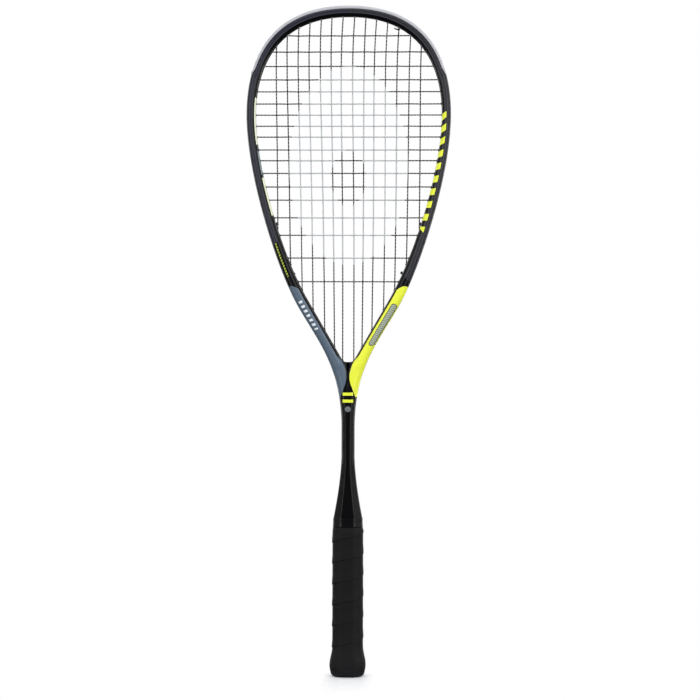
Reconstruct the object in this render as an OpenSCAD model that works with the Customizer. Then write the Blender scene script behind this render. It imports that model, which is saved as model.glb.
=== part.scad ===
// Squash racket with a teardrop head, two-piece stringing and a wrapped handle.
// It stands upright: the origin is at the bottom centre of the butt, Z runs up
// to the tip of the head, X runs across the head and Y is normal to the strings.

/* [Head] */
// Height of the tip of the bumper above the butt
racket_len = 686; // [684:1:688]
// Width across the head, over the outside of the frame
head_w = 209.4; // [208:0.2:212]
// Height of the widest place of the head
head_widest_z = 575; // [573:1:578]
// Depth of the frame, front to back, at the tip
head_depth = 18; // [17:0.5:20]
// Depth of the frame, front to back, at the throat
throat_depth = 20.5; // [19:0.5:22]
// Thickness of the bumper at the tip
bumper_t = 3.1; // [2.5:0.1:3.5]
// Wall of the hollow frame
frame_wall = 1.1; // [0.9:0.1:1.3]

/* [Shaft and handle] */
// Width of the shaft
shaft_w = 13.2; // [12.6:0.2:14]
// Depth of the shaft, front to back
shaft_depth = 19; // [18:0.5:20]
// Width of the octagonal pallet under the grip
pallet_w = 28.4; // [27:0.2:30]
// Height where the grip ends and the collar starts
grip_top = 153; // [145:1:160]
// Thickness of the grip tape on the pallet
grip_t = 1.55; // [1.2:0.05:2]
// Height of the collar
collar_h = 8.8; // [7:0.2:10]
// Length of the cone between the collar and the shaft
cone_len = 60; // [50:1:65]

/* [Strings] */
// Diameter of the string
string_d = 1.2; // [1.1:0.05:1.3]
// Outer diameter of a grommet barrel
barrel_d = 2.8; // [2.6:0.1:3]
// Bore of a grommet barrel
barrel_bore = 1.6; // [1.5:0.1:1.8]
// Sideways offset of a string where it crosses another
weave = 0.68; // [0.65:0.01:0.75]

/* [Hidden] */

// Half-distances of the mains from the axis at the top and at the bottom of the
// head, from the middle outwards, and heights of the crosses from the tip down.
MAIN_TOP = [5.9, 17.4, 28.3, 39.8, 51.3, 63.2, 74.2];
MAIN_BOTTOM = [5.7, 14.1, 24.2, 36.1, 47.4, 59.4, 72.4];
CROSS_Z = [655.5, 639, 624.3, 610.5, 598.3, 585.8, 574.4, 563, 551.9,
           538.7, 527.7, 514.7, 500.8, 487.3, 469.2, 451.3, 428, 403.8];
// How far the crosses have pulled each main to the left of a straight line, most
// of it in the upper half of the head.
MAIN_BOW = [2, 1.3, 1.6, 1.6, 1.3, 0.7, 0.5];
// Heights of the spare holes in which two of the string ends are tied off. The
// third end is tied in the top hole of a main, and the top cross ends in another.
TIE_Z = [462.5, 412.5];
TIE_MAIN = 4;
CROSS_MAIN = 5;

// ---- Curves of the head -------------------------------------------------

waist_z = 254;
throat_z = 321.6;
half_w = head_w / 2;
tip_inside_z = racket_len - 11;
inner_w = half_w - 9.5;
function downwards(slope) = [-sin(slope), -cos(slope)];
OUT_DOWN = downwards(29);
IN_DOWN = downwards(30);
SHOULDER_OUT = [53, 381];
SHOULDER_IN = [42.4, 386.6];
THROAT_CORNER = [5.6, 323];

// Outside of the right half, in X and Z, from the tip to the waist.
OUTER = [
    [[0, racket_len], [89, racket_len], [half_w, head_widest_z + 45.5], [half_w, head_widest_z]],
    [[half_w, head_widest_z], [half_w, head_widest_z - 64], SHOULDER_OUT - 39 * OUT_DOWN, SHOULDER_OUT],
    [SHOULDER_OUT, SHOULDER_OUT + 41 * OUT_DOWN, [shaft_w / 2, waist_z + 64], [shaft_w / 2, waist_z]]
];
// Inside of the right half: round the hoop, over the floor of the throat, and
// then straight down the plane in which the two tubes of the shaft meet.
INNER = [
    [[0, tip_inside_z], [85, tip_inside_z], [inner_w, head_widest_z + 32.5], [inner_w, head_widest_z]],
    [[inner_w, head_widest_z], [inner_w, head_widest_z - 57], SHOULDER_IN - 49 * IN_DOWN, SHOULDER_IN],
    [SHOULDER_IN, SHOULDER_IN + 24 * IN_DOWN, THROAT_CORNER - 24 * IN_DOWN, THROAT_CORNER],
    [THROAT_CORNER, THROAT_CORNER + IN_DOWN, [3.6, throat_z], [0, throat_z]],
    [[0, throat_z], [0, throat_z - 20], [0, waist_z + 20], [0, waist_z]]
];
// Which outer curve faces each inner curve, and over which part of it.
OUTER_LEGS = [[0, 0, 1], [1, 0, 1], [2, 0, 0.57], [2, 0.57, 0.64], [2, 0.64, 1]];
LEG_STEPS = [18, 20, 9, 3, 9];

// Places along the half are numbers from 0, at the tip, to 5, at the waist.
STATIONS = concat([for (leg = [0:4], i = [0:LEG_STEPS[leg] - 1]) leg + i / LEG_STEPS[leg]], [5]);
BUMPER_END = 13 / 18;
SIDE_SPAN = [1 - 3 / 18, 1 + 12 / 20];
THROAT_SPAN = [1 + 12.5 / 20, 4];

groove_depth = 2.3;
groove_half = 2.6;
strip_t = 0.8;
strip_half = 2.4;
bumper_floor = 1;
loop_side = 1.3;
hole_d = barrel_d + 0.2;
// Two strings in one hole lie this far to each side, and it is this much wider.
share_side = 0.65;
share_wider = 1.1;

function bezier(p, t) =
    pow(1 - t, 3) * p[0] + 3 * t * pow(1 - t, 2) * p[1] + 3 * t * t * (1 - t) * p[2] + pow(t, 3) * p[3];
function leg_of(s) = min(floor(s), 4);
function inside(s) = bezier(INNER[leg_of(s)], s - leg_of(s));
function outline(s) =
    let (leg = leg_of(s), part = OUTER_LEGS[leg])
    bezier(OUTER[part[0]], part[1] + (s - leg) * (part[2] - part[1]));
function unit(v) = v / norm(v);
function outward(s) = unit(outline(s) - inside(s));

// The frame steps in under the bumper, which only thins towards its ends.
function bumper_room(s) = s > BUMPER_END ? 0 : min(bumper_t, 0.8 + 40 * (BUMPER_END - s));
function outside(s) = outline(s) - bumper_room(s) * outward(s);
function groove(s) = s <= BUMPER_END || s > 4.2 ? 0 : groove_depth;
function depth(s) = lookup(s, [[0, head_depth], [1, 18.5], [2, 20], [3, throat_depth], [4, throat_depth],
                               [5, shaft_depth]]);
// 0 round the hoop, growing to 1 where the two tubes have become one shaft.
function joined(s) = s < 4 ? 0 : pow(s - 4, 0.8);
function mix(a, b, f) = a + (b - a) * f;

// Height of the string's middle where it lies in the channel outside the frame.
function seat(s) =
    outside(s) + outward(s) * (s <= BUMPER_END ? bumper_floor + string_d / 2 + 0.05
                                               : strip_t - groove_depth + string_d / 2 + 0.05);

// ---- Sweeps -------------------------------------------------------------

function total(pts) = [for (p = pts) 1] * pts;
function flipped(pts) = [for (i = [len(pts) - 1:-1:0]) pts[i]];
// Twice the area that a ring encloses, as a vector along its own axis.
function area(pts) = total([for (j = [0:len(pts) - 1]) cross(pts[j], pts[(j + 1) % len(pts)])]);

// A closed solid through rings of equal length, which may turn either way. Each
// end is a fan of triangles about the middle of its ring.
module loft(rings) {
    n = len(rings);
    m = len(rings[0]);
    ahead = total(rings[1]) - total(rings[0]);
    turned_right = area(rings[0]) * ahead < 0;
    middles = [total(rings[0]) / m, total(rings[n - 1]) / m];
    skin = [for (i = [0:n - 2], j = [0:m - 1])
        let (a = i * m + j, b = i * m + (j + 1) % m)
        each [[a, b, b + m], [a, b + m, a + m]]];
    first = [for (j = [0:m - 1]) [n * m, (j + 1) % m, j]];
    last = [for (j = [0:m - 1]) [n * m + 1, (n - 1) * m + j, (n - 1) * m + (j + 1) % m]];
    faces = concat(first, skin, last);
    polyhedron(concat([for (r = rings) each r], middles),
               turned_right ? faces : [for (f = faces) flipped(f)], convexity = 8);
}

// Section points are [how far from the inside to the outside, how far to the front].
function both_faces(front) = concat(front, [for (i = [len(front) - 1:-1:0]) [front[i][0], -front[i][1]]]);
HOOP = both_faces([[1, 0.33], [0.95, 0.68], [0.74, 0.93], [0.5, 1], [0.26, 0.93], [0.05, 0.68], [0, 0.33]]);
UNDER_BUMPER = both_faces([[1, 0.33], [1, 0.78], [0.8, 0.95], [0.5, 1], [0.26, 0.93], [0.05, 0.68], [0, 0.33]]);
SHAFT = both_faces([[1, 0.4], [0.8, 0.6], [0.59, 0.8], [0.38, 1], [0.2, 1], [0, 1], [0, 0.33]]);

function section(s) =
    let (hoop = s <= BUMPER_END ? UNDER_BUMPER : HOOP,
         floor_at = 1 - groove(s) / norm(outside(s) - inside(s)),
         side = 2 * groove_half / depth(s))
    concat([for (i = [0:13]) mix(hoop[i], SHAFT[i], joined(s))], [[floor_at, -side], [floor_at, side]]);

function ring(a, b, pts, half_depth) =
    [for (p = pts) let (q = mix(a, b, p[0])) [q[0], p[1] * half_depth, q[1]]];
function frame_ring(s) = ring(inside(s), outside(s), section(s), depth(s) / 2);

// The hollow keeps one wall from the inside and one from the floor of the groove.
function bore_ring(s) =
    let (w = norm(outside(s) - inside(s)),
         near = mix(frame_wall, frame_wall / 2, joined(s)) / w,
         far = 1 - (groove(s) + frame_wall) / w,
         span = far - near,
         high = 1 - 2 * frame_wall / depth(s))
    ring(inside(s), outside(s),
         both_faces([[far, 0.36 * high], [near + 0.7 * span, 0.8 * high],
                     [near + 0.32 * span, 0.86 * high], [near, 0.4 * high]]),
         depth(s) / 2);
function moved(pts, v) = [for (p = pts) p + v];

// The step at the end of the bumper is a pair of stations close together.
FRAME_STATIONS = [for (s = STATIONS) each (s == BUMPER_END ? [s, s + 0.004] : [s])];

// ---- String holes -------------------------------------------------------

function root(f, lo, hi, n = 24) =
    let (mid = (lo + hi) / 2)
    n == 0 ? mid : (f(lo) < 0) == (f(mid) < 0) ? root(f, mid, hi, n - 1) : root(f, lo, mid, n - 1);
function top_station(x) = root(function (s) inside(s)[0] - x, 0, 1);
function bottom_station(x) = root(function (s) inside(s)[0] - x, 1, 3);
function level_station(z) = root(function (s) inside(s)[1] - z, 0, 2.9);

// A hole leans half way from square to the frame towards its string. It is kept
// as the mouth inside the hoop, the station outside, the seat of the string and
// how much wider than usual it is.
function hole(s, pull, wider = 0) =
    let (mouth = inside(s),
         lean = unit(outward(s) + pull),
         out = root(function (q) cross(seat(q) - mouth, lean), max(0, s - 0.3), min(4, s + 1.1)))
    [mouth, out, seat(out), wider];

TOP_AT = [for (x = MAIN_TOP) inside(top_station(x))];
BOTTOM_AT = [for (x = MAIN_BOTTOM) inside(bottom_station(x))];
TOP_HOLES = [for (i = [0:6])
    hole(top_station(MAIN_TOP[i]), unit(TOP_AT[i] - BOTTOM_AT[i]),
         i == TIE_MAIN || i == CROSS_MAIN ? share_wider : 0)];
BOTTOM_HOLES = [for (i = [0:6]) hole(bottom_station(MAIN_BOTTOM[i]), unit(BOTTOM_AT[i] - TOP_AT[i]))];
OWN_CROSS_HOLES = [for (j = [1:17]) hole(level_station(CROSS_Z[j]), [1, 0])];
CROSS_HOLES = concat([TOP_HOLES[CROSS_MAIN]], OWN_CROSS_HOLES);
OWN_TIE_HOLES = [for (z = TIE_Z) let (s = level_station(z)) hole(s, outward(s))];
TIE_HOLES = concat([TOP_HOLES[TIE_MAIN]], OWN_TIE_HOLES);
HOLES = concat(TOP_HOLES, BOTTOM_HOLES, OWN_CROSS_HOLES, OWN_TIE_HOLES);

// A round bar along a hole, from before its mouth to past its seat.
module along_hole(h, d, before, past) {
    way = unit(h[2] - h[0]);
    len_in = norm(h[2] - h[0]) + before + past;
    foot = h[0] - before * way;
    translate([foot[0], 0, foot[1]])
        rotate([0, atan2(way[0], way[1]), 0])
            cylinder(d = d + h[3], h = len_in, $fn = 16);
}

module mirrored_pair() {
    children();
    mirror([1, 0, 0]) children();
}

// ---- Frame --------------------------------------------------------------

module frame_half() {
    difference() {
        loft(concat([for (s = FRAME_STATIONS) frame_ring(s)],
                    [moved(frame_ring(5), [0, 0, 8 - waist_z])]));
        loft(concat([moved(bore_ring(0), [-1, 0, 0])],
                    [for (s = STATIONS) bore_ring(s)],
                    [moved(bore_ring(5), [0, 0, 7 - waist_z])]));
        for (h = HOLES) along_hole(h, hole_d, 4, 5);
    }
}

module frame() color("#17181c") mirrored_pair() frame_half();

// ---- Bumper and grommet strips -------------------------------------------

function both_sides(front) = concat(front, [for (i = [len(front) - 1:-1:0]) [front[i][0], -front[i][1]]]);
function across(front) = [for (f = both_sides(front)) [f[0][0], f[1], f[0][1]]];

function bumper_ring(s) =
    let (out = outward(s), h = depth(s) / 2, high = outline(s))
    across([[outside(s), 0.78 * h], [high - 0.4 * bumper_room(s) * out, 0.78 * h], [high, 0.55 * h]]);
function channel_ring(s) =
    let (out = outward(s))
    across([[outside(s) + bumper_floor * out, groove_half], [outline(s) + out, groove_half + 0.7]]);

function strip_ring(s) =
    let (out = outward(s), low = outside(s) - groove_depth * out)
    across([[low, strip_half], [low + strip_t * out, strip_half]]);

// Barrels of the holes whose outer ends lie between two stations.
module barrels(span) {
    for (h = HOLES)
        if (h[1] >= span[0] && h[1] < span[1])
            along_hole(h, barrel_d, 0.8, -string_d / 2 - 0.45);
}
module barrel_bores(span) {
    for (h = HOLES)
        if (h[1] >= span[0] && h[1] < span[1])
            along_hole(h, barrel_bore, 2, 1);
}

// The bumper has a channel along its back, in which the strings lie.
module bumper_half() {
    bumper_stations = [for (s = STATIONS) if (s <= BUMPER_END) s];
    end_way = unit(outline(BUMPER_END) - outline(BUMPER_END - 0.01));
    difference() {
        union() {
            difference() {
                loft([for (s = bumper_stations) bumper_ring(s)]);
                loft(concat([moved(channel_ring(0), [-1, 0, 0])],
                            [for (s = bumper_stations) channel_ring(s)],
                            [moved(channel_ring(BUMPER_END), 2 * [end_way[0], 0, end_way[1]])]));
            }
            barrels([0, BUMPER_END]);
        }
        barrel_bores([0, BUMPER_END]);
    }
}
module bumper_guard() color("#c9cdd2") mirrored_pair() bumper_half();

module grommet_strip(span) {
    difference() {
        union() {
            loft([for (s = STATIONS) if (s >= span[0] && s <= span[1]) strip_ring(s)]);
            barrels(span);
        }
        barrel_bores(span);
    }
}
module right_side_grommets() color("#1c1d20") grommet_strip(SIDE_SPAN);
module left_side_grommets() color("#1c1d20") mirror([1, 0, 0]) grommet_strip(SIDE_SPAN);
module right_throat_grommets() color("#1c1d20") grommet_strip(THROAT_SPAN);
module left_throat_grommets() color("#1c1d20") mirror([1, 0, 0]) grommet_strip(THROAT_SPAN);

// ---- Strings ------------------------------------------------------------

function at_y(p, y) = [p[0], y, p[1]];
function turned(pts) = [for (p = pts) [-p[0], -p[1], p[2]]];

// Where a main meets the height of a cross, and whether it gets that far. The left
// half is the right one turned half round the axis, so there the bow is reversed.
function main_x(i, z, right) =
    let (f = (z - BOTTOM_AT[i][1]) / (TOP_AT[i][1] - BOTTOM_AT[i][1]), g = pow(f, 3.5))
    mix(BOTTOM_AT[i][0], TOP_AT[i][0], f) + (right ? -4 : 4) * MAIN_BOW[i] * g * (1 - g);
function crosses_main(i, j) = CROSS_Z[j] > BOTTOM_AT[i][1] + 1 && CROSS_Z[j] < TOP_AT[i][1] - 1;
function weave_y(i, j) = (i + j) % 2 == 0 ? weave : -weave;

// A loop in the channel from one hole to the next, set off to one side.
function channel(h1, h2, side) = [for (f = [0.2, 0.5, 0.8]) at_y(seat(mix(h1[1], h2[1], f)), side)];
// Out through a hole, in its middle or to one side of a shared one.
function hole_out(h, side) = let (y = h[3] > 0 ? side : 0) [at_y(h[0], y), at_y(h[2], y)];

function main_down(i, right) = concat(
    flipped(hole_out(TOP_HOLES[i], -share_side)),
    [for (j = [0:17]) if (crosses_main(i, j)) [main_x(i, CROSS_Z[j], right), weave_y(i, j), CROSS_Z[j]]],
    hole_out(BOTTOM_HOLES[i], 0));
function main_run(i, right) = concat(
    i % 2 == 0 ? main_down(i, right) : flipped(main_down(i, right)),
    i == 6 ? [] :
    i % 2 == 0 ? channel(BOTTOM_HOLES[i], BOTTOM_HOLES[i + 1], -loop_side)
               : channel(TOP_HOLES[i], TOP_HOLES[i + 1], -loop_side));
function main_half(right) = concat(
    [at_y(seat(0), 0), at_y(seat(TOP_HOLES[0][1] / 2), 0)],
    [for (i = [0:6]) each main_run(i, right)],
    channel(BOTTOM_HOLES[6], TIE_HOLES[1], -loop_side),
    flipped(hole_out(TIE_HOLES[1], 0)));

function cross_half(j, right) = concat(
    [for (i = [0:6]) if (crosses_main(i, j)) [main_x(i, CROSS_Z[j], right), -weave_y(i, j), CROSS_Z[j]]],
    hole_out(CROSS_HOLES[j], share_side));
function cross_run(j) = concat(flipped(cross_half(j, true)), turned(cross_half(j, false)));
function cross_loop(j) = j == 17 ? [] :
    let (loop = channel(CROSS_HOLES[j], CROSS_HOLES[j + 1], loop_side))
    j % 2 == 0 ? turned(loop) : loop;
CROSS_PATH = concat(
    hole_out(TIE_HOLES[0], share_side),
    flipped(channel(CROSS_HOLES[0], TIE_HOLES[0], loop_side)),
    [for (j = [0:17]) each concat(j % 2 == 0 ? cross_run(j) : flipped(cross_run(j)), cross_loop(j))],
    channel(CROSS_HOLES[17], TIE_HOLES[2], loop_side),
    flipped(hole_out(TIE_HOLES[2], 0)));

// The knot inside the hoop: the string swells and ends in a short bent tail. Each
// row is the distance from the mouth, the distance along the frame and the radius.
// In a shared hole the knot sits further in and behind the other string.
KNOT = [[0.9, 0, 0.6], [1, 0, 0.6], [1.2, 0, 1.2], [1.7, 0, 1.45], [2.2, 0, 1.4], [2.6, 0, 1], [2.8, 0, 0.6],
        [3.2, 0.6, 0.58], [3.3, 1.8, 0.58], [2.9, 3.4, 0.58], [2.2, 5, 0.58]];
function knot_points(h, tail) =
    let (way = unit(h[2] - h[0]), along = tail * [-way[1], way[0]], shared = h[3] > 0)
    [for (k = [0:len(KNOT) - 1])
        at_y(h[0] - (KNOT[k][0] + (shared && k > 0 ? 0.6 : 0)) * way + KNOT[k][1] * along,
             shared ? (k > 0 ? 1.6 : 0.7) : 0)];
KNOT_R = [for (k = KNOT) k[2] * string_d / 1.2];

function tube_ring(p, way, r) =
    let (side = unit(cross(way, [0, 1, 0])), up = cross(side, way))
    [for (k = [0:5]) p + r * (cos(60 * k) * up + sin(60 * k) * side)];
function heading(path, i) =
    let (last = len(path) - 1)
    i == 0 ? unit(path[1] - path[0]) :
    i == last ? unit(path[last] - path[last - 1]) :
    unit(unit(path[i] - path[i - 1]) + unit(path[i + 1] - path[i]));
module string_tube(path, radii)
    loft([for (i = [0:len(path) - 1]) tube_ring(path[i], heading(path, i), radii[i])]);
function plain_radii(path) = [for (p = path) string_d / 2];

module main_string() {
    right = concat(main_half(true), knot_points(TIE_HOLES[1], -0.6));
    left = concat(main_half(false), knot_points(TIE_HOLES[1], -0.6));
    radii = concat(plain_radii(main_half(true)), KNOT_R);
    after_tip = [1:len(right) - 1];
    color("#26272b")
        string_tube(concat(turned(flipped(left)), [for (i = after_tip) right[i]]),
                    concat(flipped(radii), [for (i = after_tip) radii[i]]));
}
module cross_string() {
    color("#26272b")
        string_tube(concat(flipped(knot_points(TIE_HOLES[0], 1)), CROSS_PATH, knot_points(TIE_HOLES[2], -0.6)),
                    concat(flipped(KNOT_R), plain_radii(CROSS_PATH), KNOT_R));
}

// ---- Handle -------------------------------------------------------------

cone_bottom = grip_top + collar_h + 0.2;
cone_top = cone_bottom + cone_len;
cap_top = 32;
shaft_bottom = 8;
grip_bottom = 5.4;
depth_less = 4;
cap_fit_w = pallet_w - 3.4;

// An octagon from its width, depth and the legs of its corners.
function octagon(w, d, cx, cy) =
    let (x = w / 2, y = d / 2)
    [[x, y - cy], [x - cx, y], [cx - x, y], [-x, y - cy], [-x, cy - y], [cx - x, -y], [x - cx, -y], [x, cy - y]];
function handle_octagon(w) = octagon(w, w - depth_less, w / 4, w / 4);
SHAFT_OCTAGON = octagon(shaft_w, shaft_depth, 0.31 * shaft_w, 0.3 * shaft_depth);
function raised(pts, z) = [for (p = pts) [p[0], p[1], z]];

module prism(pts, from, to) translate([0, 0, from]) linear_extrude(to - from) polygon(pts);
module handle_sleeve(inner_w, outer_w, from, to) {
    difference() {
        prism(handle_octagon(outer_w), from, to);
        prism(handle_octagon(inner_w), from - 1, to + 1);
    }
}
module handle_loft(profile) loft([for (p = profile) raised(handle_octagon(p[1]), p[0])]);

// Widths of the butt cap and of the grip over it, by height.
CAP_PROFILE = [[0, 27], [1, 31.6], [2.6, 34], [grip_bottom, 35.2]];
CAP_UNDER_GRIP = [[grip_bottom, 33.2], [12, 33.8], [17, 32.8], [22, 30.4], [27, pallet_w], [cap_top, pallet_w]];
GRIP_PROFILE = [[grip_bottom, 35.4], [8, 36.4], [12, 36.9], [17, 36], [22, 33.8], [27, 32],
                [31, pallet_w + 2 * grip_t], [grip_top - 3, pallet_w + 2 * grip_t], [grip_top, pallet_w + 1.6]];

// A staple through the front of the cap: a crown and two legs. What it is cut out
// of takes it with some extra height, so that its crown lies open at the surface.
staple_z = 29.5;
staple_w = 9;
staple_wire = [0.7, 1.2];
module staple(extra = 0) {
    face = (pallet_w - depth_less) / 2;
    translate([-staple_w / 2, face - staple_wire[0], staple_z - staple_wire[1] / 2])
        cube([staple_w, staple_wire[0] + extra, staple_wire[1]]);
    for (x = [-staple_w / 2, staple_w / 2 - staple_wire[0]])
        translate([x, face - 2.4, staple_z - staple_wire[1] / 2])
            cube([staple_wire[0], 2, staple_wire[1]]);
}
module front_and_back() {
    children();
    rotate([0, 0, 180]) children();
}

// A flat-headed tack in the side of the pallet, which holds the start of the tape.
tack_z = 40;
module tack(extra = 0) {
    translate([pallet_w / 2, 0, tack_z]) rotate([0, -90, 0]) {
        translate([0, 0, -extra]) cylinder(d = 4.5, h = 0.5 + extra, $fn = 32);
        cylinder(d = 1.1, h = 6.5, $fn = 16);
    }
}

module handle_pallet() {
    color("#1b1c20") difference() {
        union() {
            prism(handle_octagon(cap_fit_w), 3.2, cap_top);
            prism(handle_octagon(pallet_w), cap_top, cone_bottom);
            loft([for (i = [0:6])
                let (f = i / 6, k = pow(1 - f, 1.5))
                raised(mix(octagon(shaft_w + 1.2, shaft_depth + 1, 4.4, 5.9), handle_octagon(29.2), k),
                       mix(cone_bottom, cone_top, f))]);
        }
        prism(SHAFT_OCTAGON, shaft_bottom, cone_top + 1);
        front_and_back() staple(1);
        tack(1);
    }
}

module shaft_plug() {
    color("#d8d2b8") for (side = [-1, 1])
        translate([side * (shaft_w / 4 - 0.1), 0, 12])
            linear_extrude(30) square([3.2, 5.2], center = true);
}

module butt_cap() {
    color("#24262b") difference() {
        union() {
            handle_loft(CAP_PROFILE);
            handle_loft(CAP_UNDER_GRIP);
        }
        prism(handle_octagon(cap_fit_w), 3.2, cap_top + 1);
        translate([0, 0, -1]) cylinder(d = 17, h = 2, $fn = 64);
        front_and_back() staple(1);
    }
}
module butt_badge() color("#c9cdd2") translate([0, 0, 0.2]) cylinder(d = 16.8, h = 0.8, $fn = 64);
module butt_staples() color("#b9bcc0") front_and_back() staple();
module grip_tack() color("#b9bcc0") tack();

module grip_tape() {
    color("#2b2b2e") difference() {
        handle_loft(GRIP_PROFILE);
        handle_loft(concat([[grip_bottom - 1, 33.2]], CAP_UNDER_GRIP, [[grip_top + 1, pallet_w]]));
    }
}
module finishing_tape() color("#141416") handle_sleeve(pallet_w, pallet_w + 0.6, grip_top, cone_bottom);
module grip_collar() color("#101013") handle_sleeve(pallet_w + 0.6, pallet_w + 1.5, grip_top, cone_bottom);

// ---- The racket ---------------------------------------------------------

frame();
bumper_guard();
left_side_grommets();
right_side_grommets();
left_throat_grommets();
right_throat_grommets();
main_string();
cross_string();
handle_pallet();
shaft_plug();
butt_cap();
butt_badge();
butt_staples();
grip_tack();
grip_tape();
finishing_tape();
grip_collar();
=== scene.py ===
"""Squash racket, standing upright on a pale studio floor, in the row's frame: metres, +Z up the shaft."""

import math

import bmesh
import bpy
from mathutils import Matrix, Vector


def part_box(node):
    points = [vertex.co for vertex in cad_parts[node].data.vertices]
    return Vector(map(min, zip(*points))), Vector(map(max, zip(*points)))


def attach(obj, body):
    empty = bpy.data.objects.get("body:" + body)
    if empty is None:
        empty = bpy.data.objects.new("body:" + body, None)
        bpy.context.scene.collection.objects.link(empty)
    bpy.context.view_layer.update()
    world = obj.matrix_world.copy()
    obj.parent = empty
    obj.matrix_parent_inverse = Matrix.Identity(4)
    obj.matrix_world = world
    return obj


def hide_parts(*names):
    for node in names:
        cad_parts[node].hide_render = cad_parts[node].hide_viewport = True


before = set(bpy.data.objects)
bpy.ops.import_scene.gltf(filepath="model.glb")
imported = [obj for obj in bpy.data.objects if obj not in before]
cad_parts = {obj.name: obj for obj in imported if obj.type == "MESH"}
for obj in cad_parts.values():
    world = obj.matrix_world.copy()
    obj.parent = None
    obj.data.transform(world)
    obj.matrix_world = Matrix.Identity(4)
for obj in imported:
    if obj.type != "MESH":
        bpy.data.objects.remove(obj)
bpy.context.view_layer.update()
MM = 0.001

# ---- Sizes, in millimetres ----

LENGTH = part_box("bumper_guard")[1][2] / MM
HALF_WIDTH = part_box("frame")[1][0] / MM
WIDEST_Z = 575
SHAFT_W = 13.2
SHAFT_DEPTH = 19
WAIST_Z = 254
THROAT_Z = 321.6
SHAFT_FOOT_Z = 8
BUMPER_T = 3.1
GROOVE_DEPTH = 2.3
GROOVE_HALF = 2.6
STRIP_T = 0.8
STRIP_HALF = 2.4
BUMPER_FLOOR = 1
BUMPER_END_T = 0.8
STRING_D = 1.3
WEAVE = 0.66
LOOP_SIDE = 1.3
SEAT_BEND = 1.6
BARREL_D = 2.8
BARREL_BORE = 1.6
BARREL_TIP = 0.5
SHARE_SIDE = 0.65
SHARE_WIDER = 1.1
# A knot's radius, the points of its coil, the angle between them in radians, and how far its tail
# goes down the hoop and to the back.
KNOT_R = 0.75
COIL_POINTS = 22
COIL_STEP = 0.63
TAIL_DOWN = 0.3
TAIL_BACK = 0.6

# Half-distances of the mains from the axis, from the middle outwards, and heights of the crosses.
MAIN_TOP = [5.9, 17.4, 28.3, 39.8, 51.3, 63.2, 74.2]
MAIN_BOTTOM = [5.7, 14.1, 24.2, 36.1, 47.4, 59.4, 72.4]
CROSS_Z = [655.5, 639, 624.3, 610.5, 598.3, 585.8, 574.4, 563, 551.9,
           538.7, 527.7, 514.7, 500.8, 487.3, 469.2, 451.3, 428, 403.8]
# How far the crosses have pulled each main to the left of a straight line.
MAIN_BOW = [2, 1.3, 1.6, 1.6, 1.3, 0.7, 0.5]
TIE_Z = [462.5, 412.5]
# Mains that share their top hole: one with a tied end, one with the top cross.
TIE_MAIN = 4
CROSS_MAIN = 5

PALLET_W = 28.4
# How much less deep than wide the handle is.
DEPTH_LESS = 4
GRIP_BOTTOM_Z = 5.4
GRIP_TOP_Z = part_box("grip_collar")[0][2] / MM
COLLAR_TOP_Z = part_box("grip_collar")[1][2] / MM
CONE_TOP_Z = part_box("handle_pallet")[1][2] / MM

# ---- Numbers and curves ----


def mix(a, b, f):
    """Linear blend of two numbers or vectors."""
    return a + (b - a) * f


def smooth(x, low, high):
    """0 below low, 1 above high, and a smooth rise between."""
    f = min(1, max(0, (x - low) / (high - low)))
    return f * f * (3 - 2 * f)


def bezier(p, t):
    """A point on a cubic curve."""
    u = 1 - t
    return u**3 * p[0] + 3 * t * u * u * p[1] + 3 * t * t * u * p[2] + t**3 * p[3]


def curve_through(table, x):
    """A value from a smooth curve through (x, value) pairs."""
    last = len(table) - 1
    i = max(k for k in range(last) if k == 0 or table[k][0] <= x)
    t = min(1, max(0, (x - table[i][0]) / (table[i + 1][0] - table[i][0])))
    v = [table[min(last, max(0, i + k))][1] for k in (-1, 0, 1, 2)]
    return 0.5 * (2 * v[1] + (v[2] - v[0]) * t + (2 * v[0] - 5 * v[1] + 4 * v[2] - v[3]) * t * t
                  + (3 * v[1] - v[0] - 3 * v[2] + v[3]) * t**3)


def root(f, low, high):
    """Where f changes sign between low and high."""
    for _ in range(30):
        middle = (low + high) / 2
        if (f(low) < 0) == (f(middle) < 0):
            low = middle
        else:
            high = middle
    return (low + high) / 2


def round_angles(count):
    """Even angles round a circle."""
    return [2 * math.pi * k / count for k in range(count)]


def fillet(points, radii, steps=4, closed=True):
    """The line through the points with its corners rounded by the given lengths."""
    out = []
    last = len(points) - 1
    for i, p in enumerate(points):
        if not closed and i in (0, last):
            out.append(p.copy())
            continue
        ends = []
        for q in (points[i - 1], points[(i + 1) % len(points)]):
            length = max((q - p).length, 1e-9)
            ends.append(p + (q - p) * (min(radii[i], 0.45 * length) / length))
        for k in range(steps):
            t = k / (steps - 1)
            out.append(ends[0] * (1 - t)**2 + p * 2 * t * (1 - t) + ends[1] * t * t)
    return out


def rounded(section):
    """A closed outline of (x, y, rounding) corners, rounded."""
    return fillet([Vector(corner[:2]) for corner in section], [corner[2] for corner in section])


# ---- The head in its plane, as in the part: X and Z ----


def pt(x, z):
    """A point of the racket's plane."""
    return Vector((x, z))


def downwards(slope):
    """The direction down and inwards, this many degrees from upright."""
    return pt(-math.sin(math.radians(slope)), -math.cos(math.radians(slope)))


OUT_DOWN = downwards(29)
IN_DOWN = downwards(30)
SHOULDER_OUT = pt(53, 381)
SHOULDER_IN = pt(42.4, 386.6)
THROAT_CORNER = pt(5.6, 323)
IN_X = HALF_WIDTH - 9.5

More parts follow.
